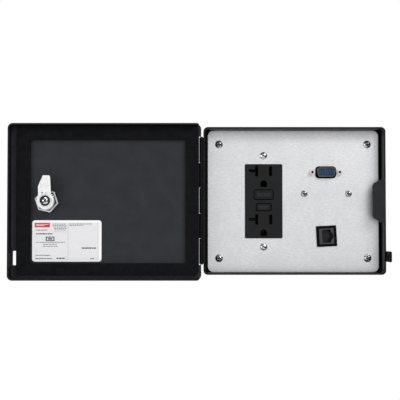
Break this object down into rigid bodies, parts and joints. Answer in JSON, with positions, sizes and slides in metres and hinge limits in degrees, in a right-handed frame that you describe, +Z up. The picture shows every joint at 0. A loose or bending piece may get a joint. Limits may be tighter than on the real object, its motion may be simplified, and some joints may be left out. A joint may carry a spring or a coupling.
{
  "type": "panel interface port with duplex outlet",
  "caption": "Panel interface port: hinged lockable door over a metal plate with a duplex ground-fault outlet, a D-shaped data socket and a modular jack.",
  "frame": {"origin": "centre of the four mounting studs on the plane of the mounting face, where the housing meets its panel", "axes": "+Y points back into the panel along the studs, +Z is up, +X is to the right as seen from the front; the front faces -Y and the door is stored open by half a turn"},
  "size_m": [0.3407, 0.0687, 0.1396],
  "materials": {
    "housing_black": "satin",
    "plate_aluminium": "brushed",
    "screw_steel": "polished",
    "zinc_steel": "satin",
    "lock_chrome": "polished",
    "gasket_rubber": "matte",
    "outlet_black": "fine matte",
    "button_black": "fine matte",
    "frame_grey": "matte",
    "contact_brass": "satin",
    "board_green": "gloss",
    "coil_copper": "satin",
    "ground_green": "satin",
    "socket_shell": "satin",
    "socket_blue": "satin",
    "jack_black": "satin",
    "jack_white": "satin",
    "label_face": "satin"
  },
  "bodies": {
    "housing": {"body_shell": "housing_black", "panel_gasket": "gasket_rubber", "mounting_studs": "zinc_steel", "face_plate": "plate_aluminium", "plate_standoffs": "zinc_steel", "plate_screws": "screw_steel", "latch_keeper": "housing_black", "keeper_rivets": "zinc_steel", "padlock_tab": "housing_black", "tab_rivets": "housing_black", "hinge_body_leaf": "housing_black", "hinge_body_rivets": "housing_black", "hinge_pin": "zinc_steel", "data_bracket": "zinc_steel", "bracket_screws": "screw_steel", "bonding_stud": "zinc_steel", "outlet_face": "outlet_black", "outlet_yoke": "zinc_steel", "outlet_mid_frame": "frame_grey", "outlet_back_body": "outlet_black", "hot_contacts": "contact_brass", "neutral_contacts": "contact_brass", "ground_contacts": "contact_brass", "circuit_board": "board_green", "sensing_coils": "coil_copper", "trip_solenoid": "coil_copper", "terminal_plates": "contact_brass", "terminal_screws": "contact_brass", "ground_screw": "ground_green", "housing_screws": "zinc_steel", "device_screws": "screw_steel", "reset_spring": "zinc_steel", "test_spring": "zinc_steel", "dsub_shell": "socket_shell", "dsub_frame": "outlet_black", "dsub_insulator": "socket_blue", "dsub_pins": "contact_brass", "dsub_jackscrews": "screw_steel", "dsub_rear_nuts": "zinc_steel", "jack_bezel": "jack_black", "jack_housing": "jack_black", "jack_contacts": "contact_brass", "jack_punch_block": "jack_white"},
    "door": {"door_shell": "housing_black", "door_gasket": "gasket_rubber", "rating_label": "label_face", "hinge_door_leaf": "housing_black", "hinge_door_rivets": "housing_black", "lock_barrel": "lock_chrome", "lock_nut": "lock_chrome", "lock_washer": "lock_chrome"},
    "latch": {"lock_plug": "lock_chrome", "lock_cam": "lock_chrome", "cam_washer": "lock_chrome", "cam_screw": "lock_chrome"},
    "reset_cap": {"reset_button": "button_black"},
    "test_cap": {"test_button": "button_black"},
    "carriage": {"contact_carriage": "jack_white", "moving_contacts": "contact_brass"},
    "plunger": {"solenoid_plunger": "zinc_steel"}
  },
  "joints": [
    {"name": "door_swing", "type": "hinge", "parent": "housing", "child": "door", "pos_m": [-0.0837, -0.0279, 0], "axis": [0, 0, 1], "range_deg": [0, 180]},
    {"name": "latch_turn", "type": "hinge", "parent": "door", "child": "latch", "pos_m": [-0.2218, -0.037, -0.0004], "axis": [0, -1, 0], "range_deg": [0, 90]},
    {"name": "reset_press", "type": "slide", "parent": "housing", "child": "reset_cap", "axis": [0, 1, 0], "range_m": [0, 0.0015], "stiffness_N_per_m": 1200, "deforming": ["reset_spring"]},
    {"name": "test_press", "type": "slide", "parent": "housing", "child": "test_cap", "axis": [0, 1, 0], "range_m": [0, 0.0015], "stiffness_N_per_m": 1200, "deforming": ["test_spring"]},
    {"name": "carriage_travel", "type": "slide", "parent": "housing", "child": "carriage", "axis": [0, 1, 0], "range_m": [0, 0.0015]},
    {"name": "plunger_pull", "type": "slide", "parent": "housing", "child": "plunger", "axis": [-1, 0, 0], "range_m": [0, 0.002], "stiffness_N_per_m": 200}
  ],
  "couplings": [
    {"joint": "carriage_travel", "follows": "reset_press", "ratio": 1}
  ]
}
